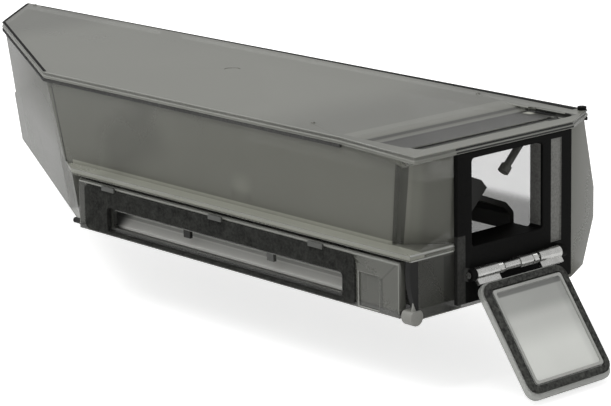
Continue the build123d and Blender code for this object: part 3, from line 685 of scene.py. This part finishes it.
def felt_nap_tree():
    """Short fibres that stand out of felt at random."""
    tree = output_tree("felt_nap")
    group_socket(tree, "Density", "NodeSocketFloat", value=1.0)
    group_socket(tree, "Length", "NodeSocketFloat", value=0.0003)
    group_socket(tree, "Thickness", "NodeSocketFloat", value=0.00003)
    group_socket(tree, "Finish", "NodeSocketMaterial")
    n, l = tree.nodes, tree.links
    start, end = n.new("NodeGroupInput"), n.new("NodeGroupOutput")
    spread, fibre = n.new("GeometryNodeDistributePointsOnFaces"), n.new("GeometryNodeMeshCone")
    put, tilt, turn = (n.new(kind) for kind in (
        "GeometryNodeInstanceOnPoints", "FunctionNodeRandomValue", "FunctionNodeRotateRotation"))
    real, skin = n.new("GeometryNodeRealizeInstances"), n.new("GeometryNodeSetMaterial")
    spread.inputs["Seed"].default_value = 7
    fibre.inputs["Vertices"].default_value = 3
    lean, whole_turn = 1.1, 6.28
    tilt.data_type = "FLOAT_VECTOR"
    tilt.inputs["Min"].default_value = (-lean, -lean, 0)
    tilt.inputs["Max"].default_value = (lean, lean, whole_turn)
    tilt.inputs["Seed"].default_value = 11
    l.new(start.outputs["Geometry"], spread.inputs["Mesh"])
    l.new(start.outputs["Density"], spread.inputs["Density"])
    l.new(start.outputs["Length"], fibre.inputs["Depth"])
    l.new(start.outputs["Thickness"], fibre.inputs["Radius Bottom"])
    l.new(spread.outputs["Points"], put.inputs["Points"])
    l.new(fibre.outputs["Mesh"], put.inputs["Instance"])
    l.new(spread.outputs["Rotation"], turn.inputs["Rotation"])
    l.new(tilt.outputs[0], turn.inputs["Rotate By"])
    l.new(turn.outputs[0], put.inputs["Rotation"])
    l.new(put.outputs[0], real.inputs[0])
    l.new(real.outputs[0], skin.inputs["Geometry"])
    l.new(start.outputs["Finish"], skin.inputs["Material"])
    l.new(skin.outputs[0], end.inputs[0])
    return tree


nap_skin = finish_material(
    "felt_nap_fibre", (0.02, 0.02, 0.018), (0.075, 0.076, 0.07), (0.8, 0.95),
    bump=0.1, specular=0.1, cloud=900.0,
)
nap = grown(nodes["inlet_felt"].data.copy(), felt_nap_tree(), {
    "Density": 4.0e6, "Length": 0.0004, "Thickness": 0.00004, "Finish": nap_skin,
})
add_piece("felt_nap", nap, "inlet_door", "felt")
blackened_steel = finish_material(
    "blackened_steel", (0.02, 0.02, 0.02), (0.05, 0.05, 0.048), (0.35, 0.5),
    bump=0.1, metallic=1.0, cloud=500.0,
)
clip_plastic = finish_material(
    "smoked_clip_plastic", (0.06, 0.062, 0.056), (0.09, 0.092, 0.084), (0.3, 0.4),
    bump=0.1, cloud=200.0,
)
dress("panel_seal", rubber)
dress("panel_pin_left", blackened_steel)
dress("panel_pin_right", blackened_steel)
for number in (1, 2, 3):
    dress(f"felt_clip_{number}", clip_plastic)
dress("slot_hook_1", dark_plastic)
dress("slot_hook_2", clip_plastic)


# The pivot lug: a round pale boss at the housing's foot that takes the panel's right pin, with
# a thin upright fin above it. Both are moulded in pale plastic and glued on.

lug_y, lug_z, lug_radius, lug_flat, lug_steps = -33.5, 1.0, 2.2, 2.7, 24
lug_left, lug_right, lug_edge = 122.4, 126.0, 0.25
lug_line = []
for i in range(lug_steps):
    angle = math.radians(360.0 / lug_steps * i)
    z = min(lug_z + lug_radius * math.sin(angle), lug_flat)
    lug_line.append((lug_y + lug_radius * math.cos(angle), z))
lug = prism("round_pivot_lug", lug_line, lug_left, lug_right, axis=0)
softened(
    "pivot_lug", "round_pivot_lug", "pale_plastic", (pale_plastic,), lug_edge,
    mesh=lug, least=0.1, sharp=50.0,
)
fin_line = [(-34.6, 2.5), (-32.2, 2.5), (-32.2, 6.6), (-33.9, 6.6)]
fin_left, fin_right, fin_edge = 124.9, 125.5, 0.12
fin = prism("pivot_fin", fin_line, fin_left, fin_right, axis=0)
fin = rounded_edges(fin, (pale_plastic,), fin_edge, least=0.2)
add_piece("pivot_fin", fin, "bin", "pale_plastic")


# The door end: a black frame glued to the end wall, with a deep sill, a smoked strip let into
# its side slot and two ears for the hinge pin. Its face is lightly grained.

frame_round = 0.2
softened("end_frame", "door_frame", "black_plastic", (black_plastic,), frame_round)


# The hinge: a stainless pin with a fixed knuckle and spacer, two rolled sleeves that turn
# with the door, and between them two springs wound from steel wire.

steel = finish_material(
    "stainless_steel", (0.62, 0.62, 0.6), (0.8, 0.8, 0.78), (0.2, 0.34),
    bump=0.15, metallic=1.0, cloud=300.0, grain=4000.0,
)
for name in ("pin", "knuckle", "spacer", "sleeve_front", "sleeve_back"):
    dress(f"hinge_{name}", steel)


def wound_spring_tree():
    """A close coil of round wire along Z, with its ends closed."""
    tree = output_tree("wound_spring")
    group_socket(tree, "Turns", "NodeSocketFloat", value=4.0)
    group_socket(tree, "Radius", "NodeSocketFloat", value=0.0012)
    group_socket(tree, "Height", "NodeSocketFloat", value=0.0016)
    group_socket(tree, "Wire", "NodeSocketFloat", value=0.00025)
    group_socket(tree, "Finish", "NodeSocketMaterial")
    n, l = tree.nodes, tree.links
    start, end = n.new("NodeGroupInput"), n.new("NodeGroupOutput")
    spiral, profile = n.new("GeometryNodeCurveSpiral"), n.new("GeometryNodeCurvePrimitiveCircle")
    sweep, skin = n.new("GeometryNodeCurveToMesh"), n.new("GeometryNodeSetMaterial")
    real = n.new("GeometryNodeRealizeInstances")
    spiral.inputs["Resolution"].default_value = 24
    profile.inputs["Resolution"].default_value = 10
    sweep.inputs["Fill Caps"].default_value = True
    l.new(start.outputs["Turns"], spiral.inputs["Rotations"])
    l.new(start.outputs["Radius"], spiral.inputs["Start Radius"])
    l.new(start.outputs["Radius"], spiral.inputs["End Radius"])
    l.new(start.outputs["Height"], spiral.inputs["Height"])
    l.new(start.outputs["Wire"], profile.inputs["Radius"])
    l.new(spiral.outputs[0], sweep.inputs["Curve"])
    l.new(profile.outputs[0], sweep.inputs["Profile Curve"])
    l.new(sweep.outputs[0], real.inputs[0])
    l.new(real.outputs[0], skin.inputs["Geometry"])
    l.new(start.outputs["Finish"], skin.inputs["Material"])
    l.new(skin.outputs[0], end.inputs[0])
    return tree


hinge_x, hinge_z = 128.85, 9.3
spring_length = 1.9
spring_tree = wound_spring_tree()
for name, low_y in (("torsion_spring_front", -8.45), ("torsion_spring_back", 4.0)):
    coil = grown(bpy.data.meshes.new(name), spring_tree, {
        "Turns": 4.0, "Radius": 1.2 * MM, "Height": 1.65 * MM, "Wire": 0.23 * MM,
        "Finish": steel,
    })
    coil.transform(
        Matrix.Translation(Vector((hinge_x, low_y + spring_length, hinge_z)) * MM)
        @ Matrix.Rotation(math.radians(90), 4, "X")
    )
    coil.shade_smooth()
    add_piece(f"wound_{name}", coil, "bin", "steel", name)


# The emptying door: a clear grey plate with rounded corners, a speckled rubber ring that
# closes on the frame, and a raised clear pane with a lip inside the ring.

clear = finish_material(
    "clear_grey_plate", (0.42, 0.43, 0.4), (0.48, 0.49, 0.46), (0.12, 0.2), bump=0.04,
    cloud=20.0, share=0.1, alpha=0.7, ior=1.58,
)
pane_skin = finish_material(
    "clear_pane", (0.56, 0.57, 0.54), (0.68, 0.69, 0.655), (0.1, 0.18), bump=0.04,
    cloud=25.0, share=0.05, alpha=0.88, ior=1.58,
    places=(
        # the dark line and the shade by the hinge, the light at the tip, the shade at the back
        Place((134.2, -2.3, 4.2), (0.4, 11.0, 1.5), 0.45, 0.5, turn=-54.0),
        Place((135.2, -2.3, 2.8), (2.5, 15.0, 2.0), 0.7, 4.0, turn=-54.0),
        Place((147.0, -2.3, -13.5), (5.0, 15.0, 2.0), 1.3, 8.0, turn=-54.0),
        Place((140.0, 8.9, -5.0), (9.0, 0.7, 12.0), 0.88, 2.0),
    ),
)
ring_rubber = finish_material(
    "speckled_ring_rubber", (0.018, 0.018, 0.017), (0.075, 0.077, 0.07), (0.7, 0.9),
    bump=0.5, depth=0.0001, cloud=900.0, grain=1600.0, share=0.5, spread=(0.38, 0.62),
    specular=0.2,
)
# The door is drawn shut against the frame, then turned open about the hinge pin.
seat_x, door_front, door_back = 128.45, -17.4, 12.6
door_heel, door_tip = hinge_z + 3.0, hinge_z + 35.05
door_radius, pane_radius, door_open_angle = 3.0, 0.8, 144.0
plate_thickness, ring_thickness, pane_thickness, lip_height = 1.6, 1.3, 0.9, 1.25
ring_margin, ring_heel_margin, ring_tip_margin, ring_width = 0.4, 0.5, 1.2, 1.9
pane_gap, pane_lip = 0.3, 0.8
plate_round, ring_round, pane_round, pane_lip_round = 0.3, 0.4, 0.1, 0.12
door_edges = {"least": 0.1, "sharp": 60.0}
door_open = (
    Matrix.Translation(Vector((hinge_x, 0, hinge_z)) * MM)
    @ Matrix.Rotation(math.radians(door_open_angle), 4, "Y")
    @ Matrix.Translation(Vector((-hinge_x, 0, -hinge_z)) * MM)
)


def door_outline(inset):
    """The outline of the ring's outer edge with round corners, or one moved in from it."""
    return rounded_box(
        door_front + ring_margin + inset, door_back - ring_margin - inset,
        door_heel + ring_heel_margin + inset, door_tip - ring_tip_margin - inset,
        max(door_radius - inset, pane_radius),
    )


def door_layer(name, outline, low, high, hole=None):
    """A flat part of the door between two distances from its seat, turned open with it."""
    mesh = prism(name, outline, seat_x + low, seat_x + high, hole=hole)
    mesh.transform(door_open)
    return mesh


inside = ring_width + pane_gap
plate_line = rounded_box(door_front, door_back, door_heel, door_tip, door_radius)
ring_line, pane_line = door_outline(0.0), door_outline(inside)
ring_hole, lip_hole = door_outline(ring_width), door_outline(inside + pane_lip)
plate = door_layer("door_plate", plate_line, 0.0, plate_thickness)
ring = door_layer("door_ring", ring_line, -ring_thickness, 0.0, ring_hole)
pane = door_layer("door_pane", pane_line, -pane_thickness, 0.0)
lip = door_layer("door_pane_lip", pane_line, -lip_height, -pane_thickness, lip_hole)
softened("door_plate", "door_plate_clear", "clear_door", (clear,), plate_round, mesh=plate,
         **door_edges)
softened("door_gasket", "door_ring", "black_rubber", (ring_rubber,), ring_round, mesh=ring,
         **door_edges)
softened("door_pane", "door_pane_clear", "clear_door", (pane_skin,), pane_round, mesh=pane,
         **door_edges)
# The pane's pale lip is a painted highlight round it.
lip = rounded_edges(lip, (lip_highlight_skin,), pane_lip_round, **door_edges)
add_piece("door_pane_lip", lip, body_of_node("door_pane"), "clear_door")


# The studio: a pale floor that shows white to the camera, also through clear plastic, one
# large soft lamp above the front and a weak one from each side, and a plain pale world.

floor_tone, floor_glow = 0.82, 0.7


def pale_floor():
    """The floor's finish: pale, with a glow that only the camera sees, also through plastic."""
    material = bpy.data.materials.new("studio_floor")
    material.use_nodes = True
    n, l = material.node_tree.nodes, material.node_tree.links
    shader, path = n["Principled BSDF"], n.new("ShaderNodeLightPath")
    shader.inputs["Base Color"].default_value = (floor_tone, floor_tone, floor_tone, 1)
    shader.inputs["Roughness"].default_value = 0.9
    shader.inputs["Specular IOR Level"].default_value = 0.1
    seen, strength = n.new("ShaderNodeMath"), n.new("ShaderNodeMath")
    seen.operation, strength.operation = "MAXIMUM", "MULTIPLY"
    strength.inputs[1].default_value = floor_glow
    l.new(path.outputs["Is Camera Ray"], seen.inputs[0])
    l.new(path.outputs["Is Transmission Ray"], seen.inputs[1])
    l.new(seen.outputs[0], strength.inputs[0])
    shader.inputs["Emission Color"].default_value = (1, 1, 1, 1)
    l.new(strength.outputs[0], shader.inputs["Emission Strength"])
    return material


floor_mesh = bpy.data.meshes.new("studio_floor")
floor_z, half = cad_low[2] - 0.5 * MM, 4.0
floor_corners = ((-half, -half), (half, -half), (half, half), (-half, half))
floor_mesh.from_pydata([(x, y, floor_z) for x, y in floor_corners], [], [(0, 1, 2, 3)])
floor = bpy.data.objects.new("studio_floor", floor_mesh)
bpy.context.scene.collection.objects.link(floor)
floor_mesh.materials.append(pale_floor())

world = bpy.data.worlds.new("studio_world")
bpy.context.scene.world = world
world.use_nodes = True
world.node_tree.nodes["Background"].inputs["Color"].default_value = (1, 1, 1, 1)
world.node_tree.nodes["Background"].inputs["Strength"].default_value = 0.55


def soft_lamp(name, place, aim, size, power):
    """A square area lamp that faces a point."""
    lamp = bpy.data.lights.new(name, "AREA")
    lamp.size = size
    lamp.energy = power
    holder = bpy.data.objects.new(name, lamp)
    bpy.context.scene.collection.objects.link(holder)
    holder.location = place
    holder.rotation_euler = (Vector(aim) - Vector(place)).to_track_quat("-Z", "Y").to_euler()


bin_middle, bin_end = (0, 0, 0.02), (0.1, 0, 0.0)
soft_lamp("top_lamp", (-0.1, -0.35, 0.95), bin_middle, size=0.8, power=6.5)
soft_lamp("left_lamp", (-0.9, -0.35, 0.45), bin_middle, size=0.6, power=0.6)
soft_lamp("right_lamp", (0.9, -0.1, 0.3), bin_end, size=0.5, power=0.2)

azimuth, elevation, roll = math.radians(48.0), math.radians(14.0), math.radians(-1.04)
eye_place = (0.5695, -0.4645, 0.1847)
ahead = Vector((
    -math.sin(azimuth) * math.cos(elevation), math.cos(azimuth) * math.cos(elevation),
    -math.sin(elevation),
))
level = Vector((math.cos(azimuth), math.sin(azimuth), 0))
above = level.cross(ahead)
across = level * math.cos(roll) + above * math.sin(roll)
upward = above * math.cos(roll) - level * math.sin(roll)
eye = bpy.data.cameras.new("camera")
eye.lens, eye.sensor_width, eye.sensor_fit = 154.25, 36.0, "HORIZONTAL"
eye.shift_x = -0.0229
camera = bpy.data.objects.new("camera", eye)
bpy.context.scene.collection.objects.link(camera)
turn = Matrix((across, upward, -ahead)).transposed().to_4x4()
camera.matrix_world = Matrix.Translation(eye_place) @ turn
bpy.context.scene.camera = camera
bpy.context.scene.view_settings.view_transform = "Standard"
